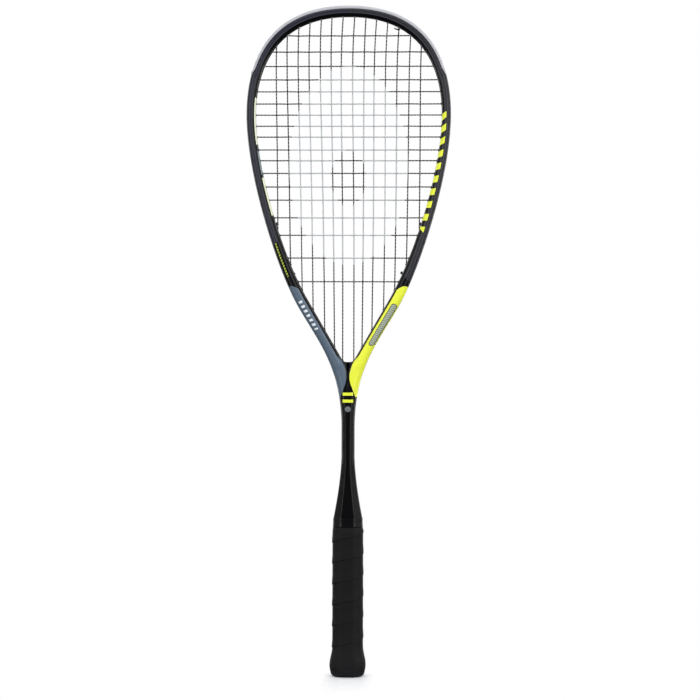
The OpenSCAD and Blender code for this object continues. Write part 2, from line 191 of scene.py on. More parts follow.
# Outside and inside of the right half, from the tip to the waist of the shaft.
OUTER = [
    [pt(0, LENGTH), pt(89, LENGTH), pt(HALF_WIDTH, WIDEST_Z + 45.5), pt(HALF_WIDTH, WIDEST_Z)],
    [pt(HALF_WIDTH, WIDEST_Z), pt(HALF_WIDTH, WIDEST_Z - 64), SHOULDER_OUT - 39 * OUT_DOWN, SHOULDER_OUT],
    [SHOULDER_OUT, SHOULDER_OUT + 41 * OUT_DOWN, pt(SHAFT_W / 2, WAIST_Z + 64), pt(SHAFT_W / 2, WAIST_Z)],
]
INNER = [
    [pt(0, LENGTH - 11), pt(85, LENGTH - 11), pt(IN_X, WIDEST_Z + 32.5), pt(IN_X, WIDEST_Z)],
    [pt(IN_X, WIDEST_Z), pt(IN_X, WIDEST_Z - 57), SHOULDER_IN - 49 * IN_DOWN, SHOULDER_IN],
    [SHOULDER_IN, SHOULDER_IN + 24 * IN_DOWN, THROAT_CORNER - 24 * IN_DOWN, THROAT_CORNER],
    [THROAT_CORNER, THROAT_CORNER + IN_DOWN, pt(3.6, THROAT_Z), pt(0, THROAT_Z)],
    [pt(0, THROAT_Z), pt(0, THROAT_Z - 20), pt(0, WAIST_Z + 20), pt(0, WAIST_Z)],
]
OUTER_LEGS = [(0, 0, 1), (1, 0, 1), (2, 0, 0.57), (2, 0.57, 0.64), (2, 0.64, 1)]
LEG_STEPS = [54, 60, 30, 12, 30]
STATIONS = [leg + i / n for leg, n in enumerate(LEG_STEPS) for i in range(n)] + [5]
# The stations where the bumper ends and between which the strips lie.
BUMPER_END = 13 / 18
SIDE_SPAN = (1 - 3 / 18, 1 + 12 / 20)
THROAT_SPAN = (1 + 12.5 / 20, 4)


def inside(s):
    """A point on the inside of the hoop. s runs from 0 at the tip to 5 at the waist."""
    leg = min(int(s), 4)
    return bezier(INNER[leg], s - leg)


def outline(s):
    """The point of the outline that faces inside(s)."""
    leg = min(int(s), 4)
    curve, start, end = OUTER_LEGS[leg]
    return bezier(OUTER[curve], start + (s - leg) * (end - start))


def outward(s):
    return (outline(s) - inside(s)).normalized()


def bumper_room(s):
    """How far the frame steps in under the bumper, which only thins towards its ends."""
    return 0 if s > BUMPER_END else min(BUMPER_T, BUMPER_END_T + 40 * (BUMPER_END - s))


def outside(s):
    return outline(s) - bumper_room(s) * outward(s)


def groove(s):
    return 0 if s <= BUMPER_END or s > 4.2 else GROOVE_DEPTH


def half_depth(s):
    return curve_through([(0, 9), (1, 9.25), (2, 10), (3, 10.25), (4, 10.25), (5, SHAFT_DEPTH / 2)], s)


def joined(s):
    """0 round the hoop, growing to 1 where the two tubes have become one shaft."""
    return 0 if s < 4 else (s - 4)**0.8


def seat(s):
    """Where the middle of a string lies in the channel outside the frame."""
    rise = BUMPER_FLOOR if s <= BUMPER_END else STRIP_T - GROOVE_DEPTH
    return outside(s) + outward(s) * (rise + STRING_D / 2 + 0.05)


def run_table():
    """(length along the outline from the tip, height there) for each station."""
    rows = [(0.0, outline(0)[1])]
    for a, b in zip(STATIONS, STATIONS[1:]):
        rows.append((rows[-1][0] + (outline(b) - outline(a)).length, outline(b)[1]))
    return rows


RUN = run_table()


def run_at(z):
    """Length along the outline from the tip down to height z."""
    return min(RUN, key=lambda row: abs(row[1] - z))[0]


# ---- String holes ----


def hole(s, pull, wider=0):
    """A hole that leans half way from square to the frame towards its string.

    It is a tuple: its mouth, its station outside, the seat of its string and how much wider than
    usual it is."""
    mouth = inside(s)
    lean = (outward(s) + pull).normalized()
    out = root(lambda q: (seat(q) - mouth).cross(lean), max(0, s - 0.3), min(4, s + 1.1))
    return mouth, out, seat(out), wider


def main_holes():
    """The top and the bottom holes of the mains of the right half, from the middle outwards."""
    top_s = [root(lambda s: inside(s)[0] - x, 0, 1) for x in MAIN_TOP]
    bottom_s = [root(lambda s: inside(s)[0] - x, 1, 3) for x in MAIN_BOTTOM]
    up = [(inside(a) - inside(b)).normalized() for a, b in zip(top_s, bottom_s)]
    widths = [SHARE_WIDER if i in (TIE_MAIN, CROSS_MAIN) else 0 for i in range(len(MAIN_TOP))]
    top = [hole(s, way, wider) for s, way, wider in zip(top_s, up, widths)]
    bottom = [hole(s, -way) for s, way in zip(bottom_s, up)]
    return top, bottom


def side_holes(heights, level):
    """Holes down the right half, for crosses (level) or for tying off (square to the frame)."""
    stations = [root(lambda s: inside(s)[1] - z, 0, 2.9) for z in heights]
    return [hole(s, pt(1, 0) if level else outward(s)) for s in stations]


TOP_HOLES, BOTTOM_HOLES = main_holes()
OWN_CROSS_HOLES = side_holes(CROSS_Z[1:], level=True)
OWN_TIE_HOLES = side_holes(TIE_Z, level=False)
CROSS_HOLES = [TOP_HOLES[CROSS_MAIN]] + OWN_CROSS_HOLES
TIE_HOLES = [TOP_HOLES[TIE_MAIN]] + OWN_TIE_HOLES
HOLES = TOP_HOLES + BOTTOM_HOLES + OWN_CROSS_HOLES + OWN_TIE_HOLES


def in_hole(h, side):
    """The depth of a string in a hole: in its middle, or to its own side of a shared one."""
    return math.copysign(SHARE_SIDE, side) if h[3] else 0.0


# ---- Mesh helpers ----


def new_object(name, data):
    """A new object in the scene."""
    item = bpy.data.objects.new(name, data)
    bpy.context.scene.collection.objects.link(item)
    return item


class Shell:
    """Points in millimetres, faces, and named numbers per point that its material reads."""

    def __init__(self, *keys):
        self.points = []
        self.faces = []
        self.values = {key: [] for key in keys}

    def add(self, points, faces, **values):
        """Adds points, faces that count from the first of them, and their values."""
        first = len(self.points)
        self.points += [tuple(p) for p in points]
        self.faces += [tuple(first + i for i in face) for face in faces]
        for key, column in self.values.items():
            column += values.get(key, [0.0] * len(points))

    def rings(self, rings, caps=True, **values):
        """Adds a skin through rings of equal length, closed at each end where caps is true."""
        sides = len(rings[0])
        faces = []
        for i in range(len(rings) - 1):
            for j in range(sides):
                a = i * sides + j
                b = i * sides + (j + 1) % sides
                faces.append((a, b, b + sides, a + sides))
        if caps:
            last = (len(rings) - 1) * sides
            faces.append(tuple(range(sides - 1, -1, -1)))
            faces.append(tuple(range(last, last + sides)))
        self.add([p for ring in rings for p in ring], faces, **values)

    def mirror(self):
        """Adds the mirror image of everything, across the plane x = 0."""
        faces = [tuple(reversed(face)) for face in self.faces]
        self.add([(-x, y, z) for x, y, z in self.points], faces,
                 **{key: list(column) for key, column in self.values.items()})

    def build(self, name, material, node, sharp=35):
        """Makes the object, which stands for a CAD node and rides with the racket."""
        mesh = bpy.data.meshes.new(name)
        mesh.from_pydata([Vector(p) * MM for p in self.points], [], self.faces)
        for key, column in self.values.items():
            mesh.attributes.new(key, "FLOAT", "POINT").data.foreach_set("value", column)
        tidy_mesh(mesh)
        mesh.polygons.foreach_set("use_smooth", [True] * len(mesh.polygons))
        mesh.set_sharp_from_angle(angle=math.radians(sharp))
        mesh.materials.append(material)
        piece = new_object(name, mesh)
        even = piece.modifiers.new("flats_shade_flat", "WEIGHTED_NORMAL")
        even.keep_sharp = True
        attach(piece, "root")
        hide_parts(node)
        return piece


def tidy_mesh(mesh):
    """Joins points that coincide, drops loose ones and turns the faces outwards."""
    bm = bmesh.new()
    bm.from_mesh(mesh)
    bmesh.ops.remove_doubles(bm, verts=bm.verts, dist=2e-6)
    bmesh.ops.delete(bm, geom=[v for v in bm.verts if not v.link_faces], context="VERTS")
    bmesh.ops.recalc_face_normals(bm, faces=bm.faces)
    bm.to_mesh(mesh)
    bm.free()


def lathe(shell, profile, foot, way, sides=20):
    """Adds a closed profile of (distance along, radius) turned about an axis."""
    side = way.orthogonal().normalized()
    up = way.cross(side)
    points = [foot + way * along + (side * math.cos(a) + up * math.sin(a)) * radius
              for along, radius in profile for a in round_angles(sides)]
    rows = len(profile)
    faces = [(i * sides + j, i * sides + (j + 1) % sides,
              (i + 1) % rows * sides + (j + 1) % sides, (i + 1) % rows * sides + j)
             for i in range(rows) for j in range(sides)]
    shell.add(points, faces)


def in_plane(p, y=0.0):
    """A point of the racket's plane, moved to depth y."""
    return Vector((p[0], y, p[1]))


# ---- Frame ----

# Front halves of sections: the share from the inside to the outside, the share from the middle to
# the front, and the rounding of each corner.
HOOP = [(1, 0.33, 0.5), (0.95, 0.68, 2.4), (0.74, 0.93, 2.2), (0.47, 1, 0.9), (0.24, 0.92, 2.2),
        (0.05, 0.68, 2.4), (0, 0.33, 2.4)]
UNDER_BUMPER = [(1, 0.33, 0.5), (1, 0.78, 0.5), (0.8, 0.95, 1.5)] + HOOP[3:]
SHAFT = [(1, 0.4, 1.5), (0.8, 0.66, 2.4), (0.59, 0.86, 1.6), (0.38, 1, 1.2), (0.2, 1, 0.8),
         (0, 1, 0), (0, 0.33, 0)]


def frame_ring(s):
    """Points round the section at s, each with how far out it lies."""
    low, high = inside(s), outside(s)
    width = (high - low).length
    half = half_depth(s)
    filled = smooth(s, 4, 4.35)
    front = []
    for i, (a, b) in enumerate(zip(UNDER_BUMPER if s <= BUMPER_END else HOOP, SHAFT)):
        x, y, r = (mix(p, q, joined(s)) for p, q in zip(a, b))
        if i >= 5 and s >= 4:
            y = mix(y, 1 if i == 5 else 0.98, filled)
            r = 0 if i == 6 else r * (1 - filled)
        front.append((x * width, y * half, r))
    section = front + [(x, -y, r) for x, y, r in reversed(front)]
    floor = width - groove(s)
    section += [(floor, -GROOVE_HALF, 0.2), (floor, GROOVE_HALF, 0.2)]
    way = (high - low) / width
    return [(in_plane(low + way * u, v), u / width) for u, v in rounded(section)]


def build_frame(material):
    """The painted frame: two mirrored tubes that become one shaft below the throat."""
    shell = Shell("run", "across")
    stations = [s for s in STATIONS if s != BUMPER_END] + [BUMPER_END, BUMPER_END + 0.004]
    rings = [(frame_ring(s), run_at(outline(s)[1])) for s in sorted(stations)]
    foot = frame_ring(5)
    for z in (200, 100, SHAFT_FOOT_Z):
        moved = [(p + Vector((0, 0, z - WAIST_Z)), across) for p, across in foot]
        rings.append((moved, RUN[-1][0] + WAIST_Z - z))
    shell.rings([[p for p, _ in ring] for ring, _ in rings], caps=False,
                run=[run for ring, run in rings for _ in ring],
                across=[across for ring, _ in rings for _, across in ring])
    # Faces in the plane between the two halves are left out, and the end of the shaft is closed.
    shell.faces = [face for face in shell.faces if any(abs(shell.points[i][0]) > 1e-6 for i in face)]
    shell.faces.append(tuple(range(len(shell.points) - len(foot), len(shell.points))))
    shell.mirror()
    return shell.build("painted_frame", material, "frame", sharp=32)


# ---- Bumper and grommet strips ----


def section_ring(s, section):
    """A section of (out from the frame's outside, to the front, rounding) points, placed at station s."""
    return [in_plane(outside(s) + outward(s) * u, v) for u, v in rounded(section)]


def bumper_ring(s):
    room = bumper_room(s)
    half = half_depth(s)
    floor = min(BUMPER_FLOOR, room)
    mouth = GROOVE_HALF + 0.7 * (room - floor) / room
    front = [(floor, GROOVE_HALF, 0.2), (room, mouth, 0.5), (room, 0.55 * half, 1.6),
             (0.6 * room, 0.78 * half, 0.9), (0, 0.78 * half, 0)]
    return section_ring(s, front + [(u, -v, r) for u, v, r in reversed(front)])


def add_eyelet(shell, h, rim):
    """A hollow barrel through the frame: rounded tip inside the hoop, flared rim above the strip."""
    foot, top = in_plane(h[0]), in_plane(h[2])
    way = (top - foot).normalized()
    end = (top - foot).length - STRING_D / 2
    r, bore = (BARREL_D + h[3]) / 2, (BARREL_BORE + h[3]) / 2
    profile = [(0.2 - BARREL_TIP, r), (0.05 - BARREL_TIP, r - 0.15), (-BARREL_TIP, r - 0.35),
               (0.05 - BARREL_TIP, bore + 0.12), (0.3 - BARREL_TIP, bore), (end - 0.7, bore),
               (end - 0.1, bore + 0.25), (end, bore + 0.45), (end, r + rim - 0.15), (end - 0.1, r + rim),
               (end - 0.4, r + rim), (end - 0.5, r)]
    lathe(shell, profile, foot, way)


def holes_within(span):
    return [h for h in HOLES if span[0] <= h[1] < span[1]]


def build_bumper(material):
    """The bumper over the top of the hoop, with the channel in which the strings lie."""
    shell = Shell()
    right = [bumper_ring(s) for s in STATIONS if s <= BUMPER_END]
    left = [[Vector((-p[0], p[1], p[2])) for p in ring] for ring in reversed(right[1:])]
    barrels = Shell()
    for h in holes_within((0, BUMPER_END)):
        add_eyelet(barrels, h, 0.3)
    barrels.mirror()
    shell.rings(left + right)
    shell.add(barrels.points, barrels.faces)
    return shell.build("bumper", material, "bumper_guard")


def build_strip(side, place, span, material):
    """One moulded strip in the groove of the frame, with its barrels."""
    shell = Shell()
    low, high = -GROOVE_DEPTH, STRIP_T - GROOVE_DEPTH
    section = [(low, STRIP_HALF, 0.1), (high, STRIP_HALF, 0.35),
               (high, -STRIP_HALF, 0.35), (low, -STRIP_HALF, 0.1)]
    shell.rings([section_ring(s, section) for s in STATIONS if span[0] <= s <= span[1]])
    for h in holes_within(span):
        add_eyelet(shell, h, 0.5)
    if side == "left":
        shell.points = [(-x, y, z) for x, y, z in shell.points]
    return shell.build(f"{side}_{place}_strip", material, f"{side}_{place}_grommets")


# ---- Strings ----


def turned(points):
    """The points turned half round the axis of the racket."""
    return [Vector((-p[0], -p[1], p[2])) for p in points]


def main_x(i, z, right):
    """Where main i is at height z. The left half is the right one turned, so its bow is reversed."""
    low, high = BOTTOM_HOLES[i][0], TOP_HOLES[i][0]
    f = (z - low[1]) / (high[1] - low[1])
    return mix(low[0], high[0], f) + (-4 if right else 4) * MAIN_BOW[i] * f**3.5 * (1 - f**3.5)


def meets(i, j):
    """True if cross j passes main i."""
    return BOTTOM_HOLES[i][0][1] + 1 < CROSS_Z[j] < TOP_HOLES[i][0][1] - 1


def woven(points, steps=6):
    """Straight stretches between the points, easing from side to side of the crossed strings."""
    out = []
    for a, b in zip(points, points[1:]):
        for k in range(steps):
            p = mix(a, b, k / steps)
            p.y = mix(a.y, b.y, smooth(k, 0, steps))
            out.append(p)
    return out


def main_bed(i, right):
    """Main i between its mouths, from the top down."""
    side = [1 if (i + j) % 2 == 0 else -1 for j in range(len(CROSS_Z))]
    crossings = [Vector((main_x(i, z, right), side[j] * WEAVE, z))
                 for j, z in enumerate(CROSS_Z) if meets(i, j)]
    top = in_plane(TOP_HOLES[i][0], in_hole(TOP_HOLES[i], -1))
    return woven([top] + crossings + [in_plane(BOTTOM_HOLES[i][0])])


def cross_bed(j):
    """Cross j from its right mouth to its left one."""
    right, left = ([Vector((main_x(i, CROSS_Z[j], half), WEAVE if (i + j) % 2 else -WEAVE, CROSS_Z[j]))
                    for i in range(len(MAIN_TOP)) if meets(i, j)] for half in (True, False))
    mouth = in_plane(CROSS_HOLES[j][0], in_hole(CROSS_HOLES[j], 1))
    return woven([mouth] + right[::-1] + turned(left) + turned([mouth]))


def loop(h1, h2, side):
    """Out through one hole, along the channel to one side, and back in through the next."""
    along = [in_plane(seat(mix(h1[1], h2[1], f)), side) for f in (0.2, 0.5, 0.8)]
    y1, y2 = in_hole(h1, side), in_hole(h2, side)
    line = [in_plane(h1[0], y1), in_plane(h1[2], y1)] + along
    line += [in_plane(h2[2], y2), in_plane(h2[0], y2)]
    return fillet(line, [0, SEAT_BEND, 3, 5, 3, SEAT_BEND, 0], closed=False)


def knot(h, tail_down, tail_back):
    """The end of a string inside the hoop: two turns tight against the barrel, and a bent tail.

    The tail runs down the hoop and to the back in the given shares. In a shared hole the knot sits
    further in and behind the other string."""
    foot = in_plane(h[0])
    way = (foot - in_plane(h[2])).normalized()
    side = Vector((0, 1, 0))
    down = way.cross(side)
    along = down * tail_down + side * tail_back
    start = []
    if h[3]:
        start = [foot + side * 0.7 + way * 0.6]
        foot = foot + side * 1.6
    coil = []
    for k in range(COIL_POINTS):
        turn = COIL_STEP * k
        arm = (side * math.cos(turn) + down * math.sin(turn)) * KNOT_R * smooth(k, 0, 5)
        coil.append(foot + way * (1.15 + 0.02 * k) + arm)
    tail = [foot + way * inwards + along * length
            for inwards, length in ((1.9, 1.4), (1.5, 3.2), (0.7, 4.8))]
    return start + coil[:-1] + fillet(coil[-1:] + tail, [0, 1.2, 2, 0], closed=False)


def main_half(right):
    """The mains of one half, from over the tip to the tie-off."""
    top, mouth = in_plane(TOP_HOLES[0][2]), in_plane(TOP_HOLES[0][0])
    half = [in_plane(seat(0)), in_plane(seat(TOP_HOLES[0][1] / 2))]
    half += [top + (mouth - top).normalized() * SEAT_BEND, mouth]
    for i in range(len(MAIN_TOP)):
        down = i % 2 == 0
        half += main_bed(i, right) if down else main_bed(i, right)[::-1]
        if i + 1 < len(MAIN_TOP):
            row = BOTTOM_HOLES if down else TOP_HOLES
            half += loop(row[i], row[i + 1], -LOOP_SIDE)
    half += loop(BOTTOM_HOLES[-1], TIE_HOLES[1], -LOOP_SIDE)
    return half + knot(TIE_HOLES[1], TAIL_DOWN, TAIL_BACK if right else -TAIL_BACK)


def main_path():
    """The one string of all the mains, from the left tie-off over the tip to the right one."""
    return turned(main_half(False))[::-1] + main_half(True)[1:]


def cross_path():
    """The one string of all the crosses, from its tie-off at the top right to the one at the bottom."""
    path = knot(TIE_HOLES[0], -1, 0)[::-1] + loop(TIE_HOLES[0], CROSS_HOLES[0], LOOP_SIDE)
    for j in range(len(CROSS_Z)):
        leftward = j % 2 == 0
        path += cross_bed(j) if leftward else cross_bed(j)[::-1]
        if j + 1 < len(CROSS_Z):
            side_loop = loop(CROSS_HOLES[j], CROSS_HOLES[j + 1], LOOP_SIDE)
            path += turned(side_loop) if leftward else side_loop
    path += loop(CROSS_HOLES[-1], TIE_HOLES[2], LOOP_SIDE)
    return path + knot(TIE_HOLES[2], TAIL_DOWN, TAIL_BACK)


def without_repeats(path, least=0.12):
    out = [path[0]]
    for p in path[1:]:
        if (p - out[-1]).length > least:
            out.append(p)
    return out


def build_string(name, path, material, node):
    """A round string. Its material reads the length along it and the direction round it."""
    path = without_repeats(path)
    turns = round_angles(8)
    shell = Shell("along", "round_a", "round_b")
    rings = []
    along = [0.0]
    side = Vector((0, 1, 0))
    for i, p in enumerate(path):
        way = (path[min(i + 1, len(path) - 1)] - path[max(i - 1, 0)]).normalized()
        side = (side - way * side.dot(way)).normalized()
        up = way.cross(side)
        rings.append([p + (side * math.cos(a) + up * math.sin(a)) * STRING_D / 2 for a in turns])
        if i:
            along.append(along[-1] + (p - path[i - 1]).length)
    shell.rings(rings, along=[length for length in along for _ in turns],
                round_a=[math.cos(a) for _ in path for a in turns],
                round_b=[math.sin(a) for _ in path for a in turns])
    return shell.build(name, material, node, sharp=80)


# ---- Handle ----


def octagon(w, d, cx, cy):
    """The right corner of the front and on round: width, depth and the legs of the corners."""
    x, y = w / 2, d / 2
    return [Vector(p) for p in ((x, y - cy), (x - cx, y), (cx - x, y), (-x, y - cy),
                                (-x, cy - y), (cx - x, -y), (x - cx, -y), (x, cy - y))]


def handle_octagon(w):
    return octagon(w, w - DEPTH_LESS, w / 4, w / 4)


def octagon_ring(corners, z, r):
    """An octagon with rounded corners at height z."""
    return [Vector((p[0], p[1], z)) for p in fillet(corners, [r] * 8, steps=5)]


def handle_ring(w, z, r):
    """The handle's section at height z, from its width."""
    return octagon_ring(handle_octagon(w), z, r)


def circle_ring(like, radius, z):
    """The points of a ring drawn in to a circle."""
    return [Vector((p[0], p[1], 0)).normalized() * radius + Vector((0, 0, z)) for p in like]


def build_pallet(material):
    """The shaped core of the handle. Above the collar its cone shows, and runs out on the shaft."""
    shell = Shell()
    rings = [handle_ring(PALLET_W - 3.4, z, 1.5) for z in (3.2, 32)]
    rings += [handle_ring(PALLET_W, z, 1.5) for z in (32.01, COLLAR_TOP_Z - 2, COLLAR_TOP_Z)]
    slim = octagon(SHAFT_W + 0.3, SHAFT_DEPTH + 0.2, 4.2, 5.7)
    wide = handle_octagon(29.2)
    for k in range(25):
        f = k / 24
        corners = [mix(a, b, (1 - f)**1.5) for a, b in zip(slim, wide)]
        rings.append(octagon_ring(corners, mix(COLLAR_TOP_Z, CONE_TOP_Z, f), 1.2))
    shell.rings(rings)
    return shell.build("handle_cone", material, "handle_pallet")


# Profiles of the handle's pieces: heights and widths.
CAP_OUT = [(0, 26.6), (0.3, 28.6), (1, 31), (2.2, 33.4), (3.6, 34.7), (4.9, 35.2), (5.35, 34.8)]
CAP_UNDER_GRIP = [(5.4, 33.2), (12, 33.6), (17, 32.6), (22, 30.2), (27, PALLET_W), (32, PALLET_W)]


def build_butt_cap(material):
    """The moulded cap: its rim shows under the grip, and its end has a round recess for the badge."""
    shell = Shell()
    rings = [handle_ring(w, z, 3.5) for z, w in reversed(CAP_UNDER_GRIP)]
    rings += [handle_ring(w, z, 5) for z, w in reversed(CAP_OUT)]
    edge = rings[-1]
    rings += [circle_ring(edge, r, z) for r, z in ((11, 0), (8.9, 0), (8.6, 0.12), (8.5, 0.4), (8.5, 1))]
    shell.rings(rings)
    return shell.build("butt_cap_moulding", material, "butt_cap")


def build_badge(material):
    """The round badge in the butt cap, with a raised rim and two plain rings."""
    shell = Shell("radius")
    steps = [(8.4, 1), (8.4, 0.3), (8.25, 0.2), (7.6, 0.2), (7.4, 0.4), (6.2, 0.4), (6, 0.25),
             (4.6, 0.25), (4.4, 0.4), (0.05, 0.34)]
    turns = round_angles(64)
    shell.rings([[Vector((r * math.cos(a), r * math.sin(a), z)) for a in turns] for r, z in steps],
                radius=[r for r, _ in steps for _ in turns])
    return shell.build("badge", material, "butt_badge")


GRIP_PROFILE = [(5.4, 35.2), (8, 36.3), (12, 36.9), (17, 36), (22, 33.8), (27, 32), (31, 31.4),
                (40, 31.3), (149, 31.3), (152.2, 30.6), (153, 29.9)]
GRIP_PITCH = 21.5
GRIP_START = 18.6
GRIP_CORNER = 3.6
LAP_HEIGHT = 0.48
LAP_DIP = 0.18


def lap(phase, z):
    """How far the tape stands out: a dip and a step up at each edge, running out as the lap ends."""
    ends = smooth(z, GRIP_BOTTOM_Z + 14, GRIP_BOTTOM_Z + 26) * smooth(GRIP_TOP_Z - z, 0.5, 4)
    edge = smooth(phase, 0.0, 0.022)
    step = LAP_HEIGHT * edge * (1 - smooth(phase, 0.08, 0.5)) - LAP_DIP * (1 - edge)
    return ends * (step - 0.1 * smooth(phase, 0.94, 1))


def build_grip(material):
    """The grip tape, wound upwards round the pallet, each turn over the edge of the one below."""
    shell = Shell("phase")
    rows_in_turn = [0.0, 0.006, 0.012, 0.022, 0.035, 0.06, 0.1, 0.16, 0.24, 0.34, 0.44, 0.54, 0.64,
                    0.74, 0.84, 0.92, 0.96, 0.985]
    base = handle_ring(30, 0, GRIP_CORNER)
    lengths = [0.0]
    for a, b in zip(base, base[1:] + base[:1]):
        lengths.append(lengths[-1] + (b - a).length)
    round_share = [value / lengths[-1] for value in lengths[:-1]]
    turns = range(-2, int(150 / GRIP_PITCH) + 2)
    heights = [(turn + f) * GRIP_PITCH for turn in turns for f in rows_in_turn]
    points = []
    phases = []
    for height in heights:
        for column, share in enumerate(round_share):
            z = min(GRIP_TOP_Z, max(GRIP_BOTTOM_Z, GRIP_START + height + share * GRIP_PITCH))
            wind = (z - GRIP_START) / GRIP_PITCH - share
            phase = wind - math.floor(wind + 1e-6)
            width = curve_through(GRIP_PROFILE, z) + 2 * lap(phase, z)
            points.append(handle_ring(width, z, GRIP_CORNER)[column])
            phases.append(phase)
    columns = len(base)
    faces = []
    for i in range(len(heights) - 1):
        for j in range(columns - 1):
            a = i * columns + j
            faces.append((a, a + 1, a + 1 + columns, a + columns))
    # A turn's last column meets the first column one turn further up.
    shift = len(rows_in_turn)
    for i in range(len(heights) - 1 - shift):
        a = i * columns + columns - 1
        b = (i + shift) * columns
        faces.append((a, b, b + columns, a + columns))
    faces.append(tuple(range(columns)))
    faces.append(tuple(range(len(points) - columns, len(points))))
    shell.add(points, faces, phase=phases)
    return shell.build("wound_grip", material, "grip_tape", sharp=50)


COLLAR = [(152.7, 29.6), (152.5, 30.1), (152.8, 30.5), (153.6, 30.7), (154.8, 30.4), (156.5, 30.1),
          (159.5, 30), (160.8, 30.1), (161.6, 30), (162.1, 29.5), (162.2, 28.9)]


def build_collar(material):
    """The moulded collar over the end of the tape, with a rolled lip at the bottom."""
    shell = Shell()
    shell.rings([handle_ring(w, z, 3.2) for z, w in COLLAR])
    return shell.build("collar", material, "grip_collar")


# ---- Materials ----


def rgb(code):
    """The linear colour of an sRGB code such as #ff8800."""
    parts = [int(code[i:i + 2], 16) / 255 for i in (1, 3, 5)]
    return tuple(c / 12.92 if c < 0.04 else ((c + 0.055) / 1.055)**2.4 for c in parts) + (1,)


class Nodes:
    """A material's nodes. Each call adds one node and gives its output; lengths are in millimetres."""

    def __init__(self, name):
        self.material = bpy.data.materials.new(name)
        self.material.use_nodes = True
        self.tree = self.material.node_tree
        self.tree.nodes.clear()
        place = self.add("TexCoord", {}, "Object")
        self.place = self.add("VectorMath", {0: place, "Scale": 1 / MM}, operation="SCALE")
        self.x, self.y, self.z = (self.add("SeparateXYZ", {0: self.place}, k) for k in range(3))

    def add(self, kind, inputs, output=0, **settings):
        node = self.tree.nodes.new("ShaderNode" + kind)
        for key, value in settings.items():
            setattr(node, key, value)
        for key, value in inputs.items():
            if isinstance(value, bpy.types.NodeSocket):
                self.tree.links.new(value, node.inputs[key])
            else:
                node.inputs[key].default_value = value
        return node.outputs[output]

    def number(self, name):
        """A number that the mesh holds at each point."""
        return self.add("Attribute", {}, "Fac", attribute_name=name)

    def math(self, operation, *values):
        return self.add("Math", dict(enumerate(values)), operation=operation)

    def times(self, *values):
        total = values[0]
        for value in values[1:]:
            total = self.math("MULTIPLY", total, value)
        return total

    def above(self, value, edge, soft=0.12):
        """0 below the edge and 1 above it."""
        low = self.math("SUBTRACT", edge, soft)
        high = self.math("ADD", edge, soft)
        return self.add("MapRange", {"Value": value, "From Min": low, "From Max": high},
                        interpolation_type="SMOOTHSTEP")

    def flip(self, value):
        return self.math("SUBTRACT", 1.0, value)

    def below(self, value, edge, soft=0.12):
        return self.flip(self.above(value, edge, soft))

    def between(self, value, low, high, soft=0.12):
        return self.times(self.above(value, low, soft), self.below(value, high, soft))

    def squares(self, a, b):
        """The sum of the squares of two values."""
        return self.math("ADD", self.math("POWER", a, 2.0), self.math("POWER", b, 2.0))

    def noise(self, size, vector=None, detail=3.0, roughness=0.55):
        """Cloudy noise from 0 to 1 with features of about the given size."""
        return self.add("TexNoise", {"Vector": self.place if vector is None else vector, "Scale": 1 / size,
                                     "Detail": detail, "Roughness": roughness})

    def stretched(self, x, y, z):
        """The place, scaled on each axis, for noise with a direction."""
        return self.add("VectorMath", {0: self.place, 1: (x, y, z)}, operation="MULTIPLY")

    def vector(self, x, y, z):
        return self.add("CombineXYZ", {0: x, 1: y, 2: z})

    def scaled(self, value, low, high):
        """A value from 0 to 1, spread from low to high."""
        return self.add("MapRange", {"Value": value, "To Min": low, "To Max": high})

    def blend(self, factor, a, b):
        """Colour a where the factor is 0 and colour b where it is 1. Both are codes or outputs."""
        a, b = (rgb(colour) if isinstance(colour, str) else colour for colour in (a, b))
        return self.add("Mix", {0: factor, 6: a, 7: b}, 2, data_type="RGBA")

    def stripes(self, value, pitch, share, soft=0.12):
        """Even stripes along a value, each covering a share of the pitch."""
        part = self.math("FLOORED_MODULO", value, pitch)
        return self.between(part, (1 - share) * pitch / 2, (1 + share) * pitch / 2, soft)

    def curve(self, value, points):
        """A smooth curve through points whose coordinates run from 0 to 1."""
        node = self.tree.nodes.new("ShaderNodeFloatCurve")
        line = node.mapping.curves[0]
        line.points[0].location = points[0]
        line.points[-1].location = points[-1]
        for point in points[1:-1]:
            line.points.new(*point)
        node.mapping.update()
        self.tree.links.new(value, node.inputs["Value"])
        return node.outputs[0]

    def bump(self, height, depth, under=None):
        """Relief of a height from 0 to 1, up to depth in millimetres, on top of other relief."""
        inputs = {"Height": height, "Distance": depth * MM}
        if under is not None:
            inputs["Normal"] = under
        return self.add("Bump", inputs)

    def finish(self, **inputs):
        """Ends in a Principled surface, whose inputs are named with underscores for spaces."""
        named = {key.replace("_", " "): value for key, value in inputs.items()}
        surface = self.add("BsdfPrincipled", named)
        output = self.tree.nodes.new("ShaderNodeOutputMaterial")
        self.tree.links.new(surface, output.inputs["Surface"])
        return self.material


YELLOW = "#e2ea44"


class FramePaint(Nodes):
    """The frame's lacquer: black, with marks painted over it one by one.

    The pattern is the same from the back, turned half round the shaft."""

    def __init__(self):
        super().__init__("painted_lacquer")
        self.run = self.number("run")
        self.across = self.number("across")
        self.slanted = self.math("ADD", self.run, self.times(self.across, 9.0))
        self.right = self.above(self.times(self.x, self.y, -1.0), 0.0, 0.05)
        self.left = self.flip(self.right)
        self.colour = "#08080a"
        self.ink = 0.0

    def stretch(self, top, bottom, soft=0.2):
        """The stretch of the frame between two heights on its outline."""
        return self.between(self.run, run_at(top), run_at(bottom), soft)

    def mark(self, where, colour, thick=False):
        """Paints a colour where the value is 1. Thick ink also stands out in relief."""
        self.colour = self.blend(where, self.colour, colour)
        if thick:
            self.ink = self.math("MAXIMUM", self.ink, where)


